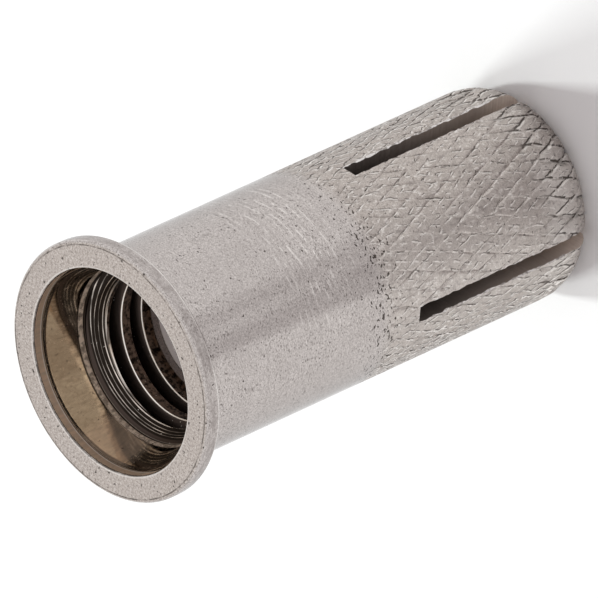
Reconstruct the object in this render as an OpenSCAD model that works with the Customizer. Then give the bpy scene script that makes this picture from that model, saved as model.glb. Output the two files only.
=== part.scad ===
// Drop-in concrete anchor: a turned sleeve with a flared collar, a threaded mouth and a knurled,
// slotted expansion end, and the expander plug that is driven down inside it to spread that end.
// The axis is Z. The expansion end stands on Z = 0 and the mouth faces up. Lengths are millimetres.

/* [Sleeve] */
// Overall length, from the expansion end to the mouth face
length = 30; // [27:0.5:40]
// Wall of the sleeve outside the thread
wall = 0.95; // [0.8:0.05:1.6]

/* [Collar] */
// How far the collar stands out beyond the body
collar_reach = 1.3; // [0.9:0.05:2]
// Height of the collar's rim
collar_rim = 1; // [0.6:0.05:1.5]
// Rounding of the rim's two outer edges
collar_edge_r = 0.25; // [0.1:0.01:0.29]
// Fillet between the collar and the body
collar_fillet_r = 1.15; // [0.4:0.05:1.8]

/* [Mouth] */
// Width of the flat mouth face, from the mouth to the outside of the collar
face_w = 1.55; // [1.2:0.05:2]
// Depth of the straight recess inside the mouth
mouth_depth = 0.7; // [0.4:0.05:1.2]
// Rounding of the mouth's edge
mouth_edge_r = 0.12; // [0.05:0.01:0.2]
// Length of the flare that narrows from the recess to the thread
flare_l = 2.1; // [1:0.1:3]

/* [Thread] */
// Nominal diameter of the internal thread
thread_d = 10; // [8:0.5:14]
// Pitch of the internal thread
thread_pitch = 1.5; // [1:0.05:1.75]
// Height of the plain ring between the flare and the thread
thread_ring = 0.25; // [0.1:0.05:0.6]
// Length of the chamfer that leads into the thread
thread_lead = 0.9; // [0.4:0.05:1.2]
// Length of the full tapped wall, down to the plug's bore
thread_l = 3; // [2.5:0.1:6]

/* [Slots] */
// Number of saw slots in the expansion end
slot_count = 4; // [2:1:6]
// Width of a slot
slot_w = 0.9; // [0.5:0.05:1.5]
// Length of a slot from the expansion end
slot_l = 13.1; // [8:0.1:15]

/* [Expansion end] */
// Rounding of the expansion end's outer edge
nose_r = 2; // [1:0.1:2.5]
// Length over which that rounding runs
nose_l = 1.7; // [0.8:0.1:1.9]
// Diameter of the hole through the end face
exit_d = 6; // [4:0.1:7]
// Length of the straight hole behind the end face
exit_l = 3; // [1:0.1:5]

/* [Knurl] */
// Length of the knurl from the expansion end
knurl_l = 16; // [14:0.5:18]
// Number of helical grooves that run each way
knurl_starts = 36; // [24:1:44]
// Angle between a groove and the axis
knurl_angle = 19.5; // [15:0.5:35]
// Depth of the grooves
knurl_h = 0.14; // [0.08:0.01:0.2]
// Length over which the grooves fade in
knurl_fade = 1.5; // [1:0.1:4]

/* [Expander plug] */
// Length of the plug
plug_l = 10; // [7:0.1:11]
// Length of the plug's tapered nose
plug_nose_l = 3; // [2:0.1:5]
// Gap all round with which the plug passes the thread
plug_pass = 0.25; // [0.2:0.01:0.4]
// Gap all round between the plug and its bore
plug_clearance = 0.06; // [0.03:0.01:0.1]
// Depth of the plug's head below the tapped wall
plug_drop = 0.1; // [0.05:0.05:0.5]
// Chamfer of the plug's two ends
plug_edge = 0.35; // [0.1:0.05:0.6]

/* [Hidden] */
$fn = 96;
// Overlap that lets one cut run clear through another
cut = 1;
// How far the knurled skin is sunk into the solid that carries it
sink = 0.3;
// How far the knurled skin lies below the smooth body, and ends above the end face
skin_step = 0.02;
foot_step = 0.05;
// Thickness of the solid between the groove bottoms and the knurled skin's back
skin_back = 0.08;
// A groove crosses the grid of the knurl once every four points
grid = 4;

thread_r = thread_d / 2;
tap_r = (thread_d - thread_pitch) / 2;
body_r = thread_r + wall;
collar_r = body_r + collar_reach;
mouth_r = collar_r - face_w;
fillet_r = min(collar_fillet_r, collar_reach - collar_edge_r);

recess_z = length - mouth_depth;
ring_z = recess_z - flare_l;
lead_z = ring_z - thread_ring;
tap_z = lead_z - thread_lead;
plug_bore_z = tap_z - thread_l;

plug_r = tap_r - plug_pass;
plug_bore_r = plug_r + plug_clearance;
plug_z = plug_bore_z - plug_drop - plug_l;
seat_z = plug_z + plug_nose_l;
exit_r = exit_d / 2;
seat_slope = (plug_bore_r - exit_r) / (seat_z - exit_l);
plug_tip_r = plug_r - seat_slope * plug_nose_l;

// Radius of the outside at height z, with the rounded expansion end
function outside_r(z) =
    z < nose_l ? body_r - nose_r + sqrt(pow(nose_r, 2) - pow(nose_l - z, 2)) : body_r;

// The knurl is a grid of points round the sleeve, in rows from the foot upwards
knurl_points = grid * knurl_starts;
knurl_high = knurl_l + sink;
knurl_cell = 2 * PI * body_r / knurl_starts / tan(knurl_angle);
knurl_rows = round((knurl_high - foot_step) * grid / knurl_cell);
knurl_step = (knurl_high - foot_step) / knurl_rows;
skin_in_r = plug_bore_r + sink;
core_r = body_r - skin_step - knurl_h - skin_back;
core_end_r = outside_r(foot_step) - skin_step - knurl_h - skin_back;

// True on a point that lies in a groove of either direction
function in_groove(i, j) = (i + j) % grid == 0 || (i - j + grid * knurl_rows) % grid == 0;

// Depth of the groove at height z
function groove_h(z) = knurl_h * min(1, max(0, (knurl_l - z) / knurl_fade));

// Radius of the knurl at point i of row j
function knurl_r(i, j) =
    let (z = foot_step + j * knurl_step)
    outside_r(z) - skin_step - (in_groove(i, j) ? groove_h(z) : 0);

// True where a grid square is split from its first corner to the opposite one, along a groove
function split_up(i, j) =
    let (a = in_groove(i, j), b = in_groove(i + 1, j))
    let (c = in_groove(i + 1, j + 1), d = in_groove(i, j + 1))
    (a && c) || (b != d);

// Point number of point i in row j, counted round without an end
function at(i, j) = j * knurl_points + i % knurl_points;

// Outline of the collar with its rounded rim and the fillet below it
module collar_outline() {
    rim_z = length - collar_rim;
    difference() {
        translate([0, rim_z]) square([collar_r, collar_rim]);
        translate([collar_r - collar_edge_r, rim_z - cut]) square([cut, collar_rim + 2 * cut]);
    }
    translate([0, rim_z + collar_edge_r]) square([collar_r, collar_rim - 2 * collar_edge_r]);
    for (z = [rim_z + collar_edge_r, length - collar_edge_r])
        translate([collar_r - collar_edge_r, z]) circle(collar_edge_r);
    difference() {
        translate([0, rim_z - fillet_r]) square([body_r + fillet_r, fillet_r]);
        translate([body_r + fillet_r, rim_z - fillet_r]) circle(fillet_r);
    }
}

// Outline of the solid under the knurl, the smooth body and the collar
module sleeve_outline() {
    polygon([
        [0, 0],
        [core_end_r, 0],
        [core_r, nose_l],
        [core_r, knurl_l],
        [body_r, knurl_l],
        [body_r, length],
        [0, length]
    ]);
    collar_outline();
}

// Everything that is bored out of the sleeve, from the exit hole up to the mouth
module bore_outline() {
    edge_z = length - mouth_edge_r;
    polygon([
        [0, -cut],
        [exit_r, -cut],
        [exit_r, exit_l],
        [plug_bore_r, seat_z],
        [plug_bore_r, plug_bore_z],
        [tap_r, plug_bore_z],
        [tap_r, tap_z],
        [thread_r, lead_z],
        [thread_r, ring_z],
        [mouth_r, recess_z],
        [mouth_r, length + cut],
        [0, length + cut]
    ]);
    difference() {
        translate([mouth_r - cut, edge_z]) square([mouth_edge_r + cut, mouth_edge_r + cut]);
        translate([mouth_r + mouth_edge_r, edge_z]) circle(mouth_edge_r);
    }
}

// Knurled skin of flat-topped diamonds between two crossing sets of helical grooves
module knurled_skin() {
    last = knurl_points - 1;
    back = (knurl_rows + 1) * knurl_points;
    skin = [
        for (j = [0:knurl_rows], i = [0:last])
            let (r = knurl_r(i, j), a = 360 * i / knurl_points)
            [r * cos(a), r * sin(a), foot_step + j * knurl_step]
    ];
    inside = [
        for (z = [foot_step, knurl_high], i = [0:last])
            let (a = 360 * i / knurl_points)
            [skin_in_r * cos(a), skin_in_r * sin(a), z]
    ];
    outer_faces = [
        for (j = [0:knurl_rows - 1], i = [0:last])
            let (a = at(i, j), b = at(i + 1, j), c = at(i + 1, j + 1), d = at(i, j + 1))
            each split_up(i, j) ? [[a, c, b], [a, d, c]] : [[a, d, b], [b, d, c]]
    ];
    inner_faces = [
        for (i = [0:last])
            let (a = back + at(i, 0), b = back + at(i + 1, 0))
            each [[a, b, b + knurl_points], [a, b + knurl_points, a + knurl_points]]
    ];
    foot_faces = [
        for (i = [0:last])
            let (a = at(i, 0), b = at(i + 1, 0))
            each [[a, b, back + b], [a, back + b, back + a]]
    ];
    top_faces = [
        for (i = [0:last])
            let (a = at(i, knurl_rows), b = at(i + 1, knurl_rows), ia = back + at(i, 1), ib = back + at(i + 1, 1))
            each [[a, ib, b], [a, ia, ib]]
    ];
    polyhedron(concat(skin, inside), concat(outer_faces, inner_faces, foot_faces, top_faces));
}

// Saw slots through the wall of the expansion end, each with a square closed end
module slots() {
    for (k = [0:slot_count - 1])
        rotate(360 * k / slot_count)
            translate([0, -slot_w / 2, -cut]) cube([body_r + cut, slot_w, slot_l + cut]);
}

// The sleeve: one turned piece, knurled and then sawn
module anchor_sleeve() {
    color([0.72, 0.69, 0.66])
    difference() {
        union() {
            rotate_extrude() difference() {
                sleeve_outline();
                bore_outline();
            }
            knurled_skin();
        }
        slots();
    }
}

// The plug: a hard pin with a tapered nose that rests in the tapered seat
module expander_plug() {
    color([0.56, 0.55, 0.54])
    translate([0, 0, plug_z])
    rotate_extrude()
    polygon([
        [0, 0],
        [plug_tip_r - plug_edge, 0],
        [plug_tip_r + seat_slope * plug_edge, plug_edge],
        [plug_r, plug_nose_l],
        [plug_r, plug_l - plug_edge],
        [plug_r - plug_edge, plug_l],
        [0, plug_l]
    ]);
}

anchor_sleeve();
expander_plug();
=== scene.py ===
# %% [markdown]
# # A drop-in concrete anchor
# The anchor is a short sleeve, turned from bar and plated. It has a flared collar round a threaded
# mouth, a smooth body, and an expansion end that is knurled and then sawn into four legs. A hard plug
# waits inside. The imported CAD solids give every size, and this lesson dresses them: the thread's helix,
# the worn diamonds of the knurl, the small edge breaks and the plated finish.

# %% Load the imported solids
import math

import bpy
from mathutils import Matrix, Vector


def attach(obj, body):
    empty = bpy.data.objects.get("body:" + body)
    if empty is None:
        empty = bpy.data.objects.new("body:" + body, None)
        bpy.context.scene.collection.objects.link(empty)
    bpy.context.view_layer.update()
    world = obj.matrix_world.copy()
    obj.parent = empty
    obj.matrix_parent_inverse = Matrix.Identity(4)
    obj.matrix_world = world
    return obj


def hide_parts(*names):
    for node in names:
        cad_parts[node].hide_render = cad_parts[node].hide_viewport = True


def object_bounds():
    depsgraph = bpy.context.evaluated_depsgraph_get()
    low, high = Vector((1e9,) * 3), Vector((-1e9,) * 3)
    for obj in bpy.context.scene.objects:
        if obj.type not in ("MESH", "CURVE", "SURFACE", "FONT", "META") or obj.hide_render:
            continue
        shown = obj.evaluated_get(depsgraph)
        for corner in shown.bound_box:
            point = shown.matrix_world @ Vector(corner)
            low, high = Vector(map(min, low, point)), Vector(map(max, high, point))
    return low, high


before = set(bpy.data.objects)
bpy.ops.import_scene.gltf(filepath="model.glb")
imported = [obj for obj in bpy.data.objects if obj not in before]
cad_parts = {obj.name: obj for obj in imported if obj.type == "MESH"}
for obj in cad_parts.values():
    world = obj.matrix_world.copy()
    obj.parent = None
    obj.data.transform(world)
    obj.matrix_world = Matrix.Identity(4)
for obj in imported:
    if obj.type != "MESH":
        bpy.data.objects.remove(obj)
cad_low, cad_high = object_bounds()
MM = 0.001
LENGTH = cad_high.z / MM
COLLAR_R = min(-cad_low.x, -cad_low.y, cad_high.x, cad_high.y) / MM
print("CAD box in mm:", [round(v / MM, 3) for v in (*cad_low, *cad_high)])

# %% [markdown]
# ## Camera
# A product shot like this one is taken from far away with a long lens, so the sleeve hardly narrows
# towards its far end. The camera could be aimed by eye with a Track To constraint. Here its three axes
# were solved from the outline of the collar and the body, so they are written down as they are. The
# camera is rolled: the sleeve stands upright on the floor and still lies slantwise in the picture.

# %% Camera
PIXELS = 598
PIXELS_PER_MM = 19.269
SENSOR_MM = 36.0
LENS_MM = 1400.0
CLIP_END = 20.0
view_right = Vector((0.0795, -0.7001, -0.7095)).normalized()
view_down = Vector((-0.8448, -0.4251, 0.3249))
view_down = (view_down - view_down.project(view_right)).normalized()
view_forward = view_right.cross(view_down)
mouth_centre = Vector((0, 0, LENGTH))
mouth_offset_right = -9.827
mouth_offset_down = 3.809
camera_distance = LENS_MM / SENSOR_MM * PIXELS / PIXELS_PER_MM
camera_place = (mouth_centre - mouth_offset_right * view_right - mouth_offset_down * view_down
                - camera_distance * view_forward)

camera_data = bpy.data.cameras.new("long_lens")
camera_data.sensor_width = SENSOR_MM
camera_data.lens = LENS_MM
camera_data.clip_end = CLIP_END
camera = bpy.data.objects.new("camera", camera_data)
turn = Matrix((view_right, -view_down, -view_forward)).transposed().to_4x4()
camera.matrix_world = Matrix.Translation(camera_place * MM) @ turn
bpy.context.scene.collection.objects.link(camera)
bpy.context.scene.camera = camera
bpy.context.scene.view_settings.view_transform = "Standard"
print("camera distance in mm:", round(camera_distance))

# %% [markdown]
# ## Helpers for node trees
# Geometry Nodes and materials are both graphs of small nodes. Clicking them together is quick once, but
# a script can repeat it. One helper adds any node and feeds its inputs. The others add the nodes that
# come up most and hand back their result, so that a formula reads from the inside out.

# %% Helpers for node trees
def put(tree, kind, feeds=None, **settings):
    """Adds a node to the tree, sets its options, and feeds its inputs with sockets or plain values."""
    node = tree.nodes.new(kind)
    for name, value in settings.items():
        setattr(node, name, value)
    for key, value in (feeds or {}).items():
        if isinstance(value, bpy.types.NodeSocket):
            tree.links.new(value, node.inputs[key])
        else:
            node.inputs[key].default_value = value
    return node


def calc(tree, operation, *values):
    """Adds one Math node and returns its result."""
    return put(tree, "ShaderNodeMath", dict(enumerate(values)), operation=operation).outputs[0]


def product(tree, *values):
    """Product of several numbers."""
    result = values[0]
    for value in values[1:]:
        result = calc(tree, "MULTIPLY", result, value)
    return result


print("helpers for nodes and sums ready")


# %% Helpers for spans and vectors
def ramp(tree, value, from_low, from_high, to_low=0.0, to_high=1.0, shape="SMOOTHSTEP"):
    """Maps a value from one span to another and holds it at the ends."""
    feeds = {0: value, 1: from_low, 2: from_high, 3: to_low, 4: to_high}
    return put(tree, "ShaderNodeMapRange", feeds, interpolation_type=shape).outputs[0]


def mix(tree, share, low, high):
    """A number between two, by a share."""
    return put(tree, "ShaderNodeMix", {0: share, 2: low, 3: high}, data_type="FLOAT").outputs[0]


def axes(tree, place):
    """The X, Y and Z of a place."""
    return put(tree, "ShaderNodeSeparateXYZ", {0: place}).outputs


def vector(tree, **parts):
    """A vector from its X, Y and Z."""
    return put(tree, "ShaderNodeCombineXYZ", parts).outputs[0]


print("helpers for spans and vectors ready")


# %% Helper that starts a Geometry Nodes tree
def start_tree(name, inputs):
    """Starts a Geometry Nodes tree with a geometry input, named inputs and a geometry output."""
    tree = bpy.data.node_groups.new(name, "GeometryNodeTree")
    tree.is_modifier = True
    tree.interface.new_socket("Geometry", in_out="INPUT", socket_type="NodeSocketGeometry")
    for label, kind in inputs:
        tree.interface.new_socket(label, in_out="INPUT", socket_type="NodeSocket" + kind)
    tree.interface.new_socket("Geometry", in_out="OUTPUT", socket_type="NodeSocketGeometry")
    return tree, put(tree, "NodeGroupInput").outputs


print("helper for new trees ready")

# %% [markdown]
# ## The sleeve's outline
# On a lathe the whole sleeve comes from one outline, and in Blender that is a polyline of radius and
# height. A Screw modifier could spin it, but then every ring would be a plain circle. Here each point of
# the outline also carries three shares: how much of the knurl and of the thread it takes, and how far it
# leans. The loop runs up the outside, over the collar, down the bore and back along the end face.

# %% Sizes of the sleeve
BODY_R = 5.95
THREAD_R = 5.0
TAP_R = 4.25
PLUG_BORE_R = 4.06
EXIT_R = 3.0
EXIT_EDGE = 0.1
MOUTH_R = 5.7
MOUTH_EDGE_R = 0.12
MOUTH_DEPTH = 0.7
FLARE_L = 2.1
RING_H = 0.25
LEAD_L = 0.9
THREAD_L = 3.0
PLUG_BORE_L = 7.1
RIM_H = 1.0
RIM_EDGE_R = 0.25
FILLET_R = COLLAR_R - RIM_EDGE_R - BODY_R
NOSE_R = 2.0
NOSE_L = 1.7
RECESS_Z = LENGTH - MOUTH_DEPTH
RING_Z = RECESS_Z - FLARE_L
LEAD_Z = RING_Z - RING_H
TAP_Z = LEAD_Z - LEAD_L
PLUG_BORE_Z = TAP_Z - THREAD_L
SEAT_Z = PLUG_BORE_Z - PLUG_BORE_L
EXIT_Z = 3.0
print("thread from", round(TAP_Z, 2), "down to", round(PLUG_BORE_Z, 2), "mm")

# %% Sizes of the knurl and the thread
KNURL_STARTS = 36
KNURL_POINTS = 12
KNURL_ANGLE = math.radians(19.5)
KNURL_CELL = 2 * math.pi * BODY_R / KNURL_STARTS / math.tan(KNURL_ANGLE)
KNURL_TOP = 16.0
KNURL_FADE = 1.4
KNURL_H = 0.14
COLUMNS = KNURL_STARTS * KNURL_POINTS
THREAD_PITCH = 1.5
print("a diamond is", round(2 * math.pi * BODY_R / KNURL_STARTS, 2), "by", round(KNURL_CELL, 2), "mm")


# %% Pieces of an outline
def arc(centre_r, centre_z, radius, start, end, steps):
    """Points on an arc in the outline's plane, from one angle to another in degrees."""
    points = []
    for k in range(steps + 1):
        a = math.radians(start + (end - start) * k / steps)
        points.append((centre_r + radius * math.cos(a), centre_z + radius * math.sin(a)))
    return points


def line(start, end, steps):
    """Points on a straight stretch, without its two ends."""
    return [tuple(s + (e - s) * k / steps for s, e in zip(start, end)) for k in range(1, steps)]


def blend(value, low, high):
    """A share that eases from 0 at low to 1 at high."""
    t = min(1.0, max(0.0, (value - low) / (high - low)))
    return t * t * (3 - 2 * t)


print("an arc of 90 degrees in 4 steps has", len(arc(0, 0, 1, 0, 90, 4)), "points")

# %% The outline, from the expansion end up and round
WORN_LOSS = 0.50
WORN_FROM = 1.6
WORN_TO = 4.2
BODY_STEPS = 7
FILLET_STEPS = 12
EDGE_STEPS = 7
FACE_STEPS = 5


def outside_r(z):
    """Radius of the rounded expansion end and of the body above it."""
    if z >= NOSE_L:
        return BODY_R
    return BODY_R - NOSE_R + math.sqrt(NOSE_R ** 2 - (NOSE_L - z) ** 2)


def knurl_share(z):
    """Depth of the grooves: full near the end, shallow along the middle, fading out at the top."""
    deep = 1.0 - WORN_LOSS * blend(z, WORN_FROM, WORN_TO)
    return deep * (1.0 - blend(z, KNURL_TOP - KNURL_FADE, KNURL_TOP))


knurl_step = KNURL_CELL / KNURL_POINTS
knurl_rows = math.ceil(KNURL_TOP / knurl_step)
rim_z = LENGTH - RIM_H
outline = [(outside_r(j * knurl_step), j * knurl_step) for j in range(knurl_rows + 1)]
outline += line(outline[-1], (BODY_R, rim_z - FILLET_R), BODY_STEPS)
outline += arc(BODY_R + FILLET_R, rim_z - FILLET_R, FILLET_R, 180, 90, FILLET_STEPS)
outline += arc(COLLAR_R - RIM_EDGE_R, rim_z + RIM_EDGE_R, RIM_EDGE_R, -90, 0, EDGE_STEPS)[1:]
outline += arc(COLLAR_R - RIM_EDGE_R, LENGTH - RIM_EDGE_R, RIM_EDGE_R, 0, 90, EDGE_STEPS)
outline += line(outline[-1], (MOUTH_R + MOUTH_EDGE_R, LENGTH), FACE_STEPS)
outline += arc(MOUTH_R + MOUTH_EDGE_R, LENGTH - MOUTH_EDGE_R, MOUTH_EDGE_R, 90, 180, EDGE_STEPS)
print("points on the outside:", len(outline))

# %% [markdown]
# A thread that is sampled in level rings gets a wavy edge, because its crest climbs from ring to ring. So
# in the tapped stretch the rows of points climb with the thread. Their steps within one pitch are listed:
# the flat root, the two flanks, a small break at each corner of the crest, and the crest's land.

# %% Steps of the thread
CREST_SHARE = 0.40
ROOT_SHARE = 0.12
CORNER_SHARE = 0.015
FLANK_SHARES = [0.155, 0.25]
LAND_SHARE = 0.43
THREAD_START = 0.335
crest_corner = 0.5 - CREST_SHARE / 2
crest_break = [crest_corner - CORNER_SHARE, crest_corner + CORNER_SHARE]
half_steps = [ROOT_SHARE / 2] + FLANK_SHARES + crest_break + [LAND_SHARE]
thread_steps = [0.5] + half_steps[::-1] + [-step for step in half_steps]
turns = range(math.ceil(LENGTH / THREAD_PITCH), 0, -1)
lattice = [THREAD_PITCH * (turn + step - THREAD_START) for turn in turns for step in thread_steps]
half_pitch = THREAD_PITCH / 2
lattice = [z for z in lattice if PLUG_BORE_Z - half_pitch < z < LEAD_Z + half_pitch]
print("rows in one pitch:", len(thread_steps))

# %% The outline, down the bore and back along the end face
RECESS_STEPS = 3
FLARE_STEPS = 8
BORE_STEPS = 4
SEAT_STEPS = 8
END_STEPS = 4
outline += line(outline[-1], (MOUTH_R, RECESS_Z), RECESS_STEPS)
outline += [(MOUTH_R, RECESS_Z)]
outline += line((MOUTH_R, RECESS_Z), (THREAD_R, RING_Z), FLARE_STEPS)
outline += [(THREAD_R, RING_Z), (THREAD_R, LEAD_Z)]
helix_from = len(outline)
outline += [(TAP_R, z) for z in lattice]
helix_to = len(outline)
outline += [(TAP_R, PLUG_BORE_Z), (PLUG_BORE_R, PLUG_BORE_Z)]
outline += line((PLUG_BORE_R, PLUG_BORE_Z), (PLUG_BORE_R, SEAT_Z), BORE_STEPS)
outline += [(PLUG_BORE_R, SEAT_Z)]
outline += line((PLUG_BORE_R, SEAT_Z), (EXIT_R, EXIT_Z), SEAT_STEPS)
outline += [(EXIT_R, EXIT_Z), (EXIT_R, EXIT_EDGE), (EXIT_R + EXIT_EDGE, 0)]
outline += line((EXIT_R + EXIT_EDGE, 0), outline[0], END_STEPS)
outline += [outline[0]]
print("points on the whole outline:", len(outline), "of them on the helix:", helix_to - helix_from)


# %% The outline as a mesh that carries its shares
def outline_object(name, points, shares):
    """A polyline in the XZ plane. Each share is a named number for every point."""
    mesh = bpy.data.meshes.new(name)
    edges = [(k, k + 1) for k in range(len(points) - 1)]
    mesh.from_pydata([(r * MM, 0, z * MM) for r, z in points], edges, [])
    for label, values in shares.items():
        attribute = mesh.attributes.new(label, "FLOAT", "POINT")
        attribute.data.foreach_set("value", values)
    holder = bpy.data.objects.new(name, mesh)
    bpy.context.scene.collection.objects.link(holder)
    return holder


def tilt(z):
    """How far the outside leans downwards at a height of the rounded end."""
    return (NOSE_L - z) / NOSE_R if z < NOSE_L else 0.0


on_skin = [k <= knurl_rows or k == len(outline) - 1 for k in range(len(outline))]
sleeve_shares = {
    "knurl": [knurl_share(z) if skin else 0.0 for (r, z), skin in zip(outline, on_skin)],
    "helix": [1.0 if helix_from <= k < helix_to else 0.0 for k in range(len(outline))],
    "tilt": [tilt(z) if skin else 0.0 for (r, z), skin in zip(outline, on_skin)],
}
sleeve = outline_object("turned_sleeve", outline, sleeve_shares)
print("knurl shares from", min(sleeve_shares["knurl"]), "to", round(max(sleeve_shares["knurl"]), 2))

# %% [markdown]
# ## Turning the outline
# A lathe turns the bar past the tool, and a Geometry Nodes tree can do the same. A flat grid has one
# column for each direction round the axis and one row for each point of the outline. Sample Index reads
# the outline's point for a row, and Set Position rolls the flat grid up round the axis. The columns are
# counted so that both sets of knurl grooves run along the grid's diagonals, which keeps them crisp.

# %% Helpers for turning
def position(tree):
    """The place of each point of the mesh at hand."""
    return put(tree, "GeometryNodeInputPosition").outputs[0]


def roll_up(tree, profile, columns):
    """Adds the flat grid and what each of its points reads from the outline."""
    points = put(tree, "GeometryNodeAttributeDomainSize", {0: profile}).outputs["Point Count"]
    rows_less_one = calc(tree, "SUBTRACT", points, 1)
    around = calc(tree, "ADD", columns, 1)
    feeds = {"Size X": 2 * math.pi, "Size Y": rows_less_one, "Vertices X": around, "Vertices Y": points}
    grid = put(tree, "GeometryNodeMeshGrid", feeds).outputs["Mesh"]
    flat = axes(tree, position(tree))
    row = calc(tree, "ROUND", calc(tree, "MULTIPLY_ADD", rows_less_one, 0.5, flat["Y"]))

    def read(field, kind):
        feeds = {"Geometry": profile, "Value": field, "Index": row}
        return put(tree, "GeometryNodeSampleIndex", feeds, data_type=kind).outputs[0]

    point = axes(tree, read(position(tree), "FLOAT_VECTOR"))
    shares = {}
    for label in ("knurl", "helix", "tilt"):
        named = put(tree, "GeometryNodeInputNamedAttribute", {"Name": label}, data_type="FLOAT")
        shares[label] = read(named.outputs["Attribute"], "FLOAT")
    return grid, flat["X"], point["X"], point["Z"], shares


def round_place(tree, angle, radius, height):
    """The place at an angle round the axis, a radius and a height."""
    x = calc(tree, "MULTIPLY", radius, calc(tree, "COSINE", angle))
    y = calc(tree, "MULTIPLY", radius, calc(tree, "SINE", angle))
    return vector(tree, X=x, Y=y, Z=height)


print("helpers for turning ready")

# %% Start of the sleeve's tree
sleeve_inputs = [
    ("Columns", "Int"),
    ("Knurl Starts", "Int"),
    ("Knurl Cell", "Float"),
    ("Groove Depth", "Float"),
    ("Groove Wander", "Float"),
    ("Thread Pitch", "Float"),
    ("Tapping Radius", "Float"),
    ("Thread Depth", "Float"),
    ("Slot Width", "Float"),
    ("Slot Length", "Float"),
    ("Slot Burr", "Float"),
    ("Slot Shiver", "Float"),
    ("Plated", "Material"),
    ("Bore", "Material"),
    ("Sawn", "Material"),
    ("Rubbed", "Material"),
]
sleeve_tree, given = start_tree("turn_knurl_tap_and_saw", sleeve_inputs)
tree = sleeve_tree
grid, angle, radius, height, share = roll_up(tree, given["Geometry"], given["Columns"])
print("nodes so far:", len(tree.nodes))

# %% [markdown]
# ## The knurl
# A knurling wheel rolls two crossing sets of V grooves into the turned skin. Where they are shallow the
# metal between them keeps its flat top, so the diamonds are small plateaus and not pyramids. A bump map
# could fake that, but the edge of the expansion end shows the grooves in outline, so they are cut into
# the mesh. Each groove has its own depth from white noise with a fixed seed, as worn wheels leave it.
# Softer noise wears whole patches down and lets the grooves wander a little.

# %% The knurl
GROOVE_DEPTHS = (0.72, 1.1)
GROOVE_SLOPE = 2.0
PATCH_SCALE = 1000.0
PATCH_DEPTHS = (0.15, 1.2)
UP_SEED = 3.0
DOWN_SEED = 71.0


def groove_set(tree, sign, seed):
    """Distance from the nearest groove of one direction, and that groove's own depth."""
    turns = calc(tree, "MULTIPLY", angle, calc(tree, "DIVIDE", given["Knurl Starts"], 2 * math.pi))
    climb = calc(tree, "DIVIDE", height, given["Knurl Cell"])
    phase = calc(tree, "MULTIPLY_ADD", climb, sign, turns)
    nearest = calc(tree, "ROUND", phase)
    number = calc(tree, "FLOORED_MODULO", nearest, given["Knurl Starts"])
    feeds = {"W": calc(tree, "ADD", number, seed)}
    noise = put(tree, "ShaderNodeTexWhiteNoise", feeds, noise_dimensions="1D").outputs["Value"]
    away = calc(tree, "ABSOLUTE", calc(tree, "SUBTRACT", phase, nearest))
    return calc(tree, "MULTIPLY", away, 2), ramp(tree, noise, 0, 1, *GROOVE_DEPTHS, "LINEAR")


def groove_depth(tree, away, own, patch):
    """Depth of a V groove: a deeper groove is also a wider one."""
    cut = product(tree, share["knurl"], own, patch)
    return calc(tree, "MAXIMUM", calc(tree, "MULTIPLY_ADD", away, -GROOVE_SLOPE, cut), 0)


smooth_place = round_place(tree, angle, radius, height)
patch_feeds = {"Vector": smooth_place, "Scale": PATCH_SCALE, "Detail": 2.0}
patch_noise = put(tree, "ShaderNodeTexNoise", patch_feeds).outputs[0]
patch = ramp(tree, patch_noise, 0.36, 0.64, *PATCH_DEPTHS, "LINEAR")
up_away, up_own = groove_set(tree, 1.0, UP_SEED)
down_away, down_own = groove_set(tree, -1.0, DOWN_SEED)
up_depth = groove_depth(tree, up_away, up_own, patch)
down_depth = groove_depth(tree, down_away, down_own, patch)
groove = calc(tree, "MAXIMUM", up_depth, down_depth)
print("nodes with the knurl:", len(tree.nodes))

# %% The knurl's triangles
compare = {0: down_away, 1: up_away}
near_down = put(tree, "FunctionNodeCompare", compare, operation="LESS_THAN").outputs[0]
halved = {"Mesh": grid, "Selection": near_down}
split = put(tree, "GeometryNodeTriangulate", halved, quad_method="FIXED").outputs[0]
split = put(tree, "GeometryNodeTriangulate", {"Mesh": split}, quad_method="FIXED_ALTERNATE").outputs[0]
mark = {"Geometry": split, "Name": "groove", "Value": groove}
marked = put(tree, "GeometryNodeStoreNamedAttribute", mark, data_type="FLOAT").outputs[0]
print("nodes with the triangles:", len(tree.nodes))

# %% The knurl's wander
WANDER_SCALE = 900.0
STRAIGHT_END = 1.0
wander_feeds = {"Vector": smooth_place, "Scale": WANDER_SCALE, "Detail": 2.0}
drift = axes(tree, put(tree, "ShaderNodeTexNoise", wander_feeds).outputs["Color"])
inside_end = ramp(tree, height, 0.0, STRAIGHT_END * MM)
on_knurl = ramp(tree, share["knurl"], 0.0, 0.2)
wander_size = product(tree, on_knurl, inside_end, given["Groove Wander"])
drift_round = calc(tree, "MULTIPLY", calc(tree, "SUBTRACT", drift["X"], 0.5), wander_size)
drift_up = calc(tree, "MULTIPLY", calc(tree, "SUBTRACT", drift["Y"], 0.5), wander_size)
wander_angle = calc(tree, "ADD", angle, calc(tree, "DIVIDE", drift_round, BODY_R * MM))
print("nodes with the wander:", len(tree.nodes))

# %% [markdown]
# ## The thread
# The mouth is tapped with a right-hand M10 thread of 1.5 mm pitch. A thread is a ridge that climbs one
# pitch in a turn, so the wall's radius depends only on the height less the turn's share of the pitch. A
# screwed curve with a profile would give the same ridge, but as a separate shell. Pushing the bore's own
# points outwards by the formula keeps the sleeve one closed skin. The lead-in chamfer needs no work:
# where the drilled wall is already wider than the thread, the wall stays.

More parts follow.
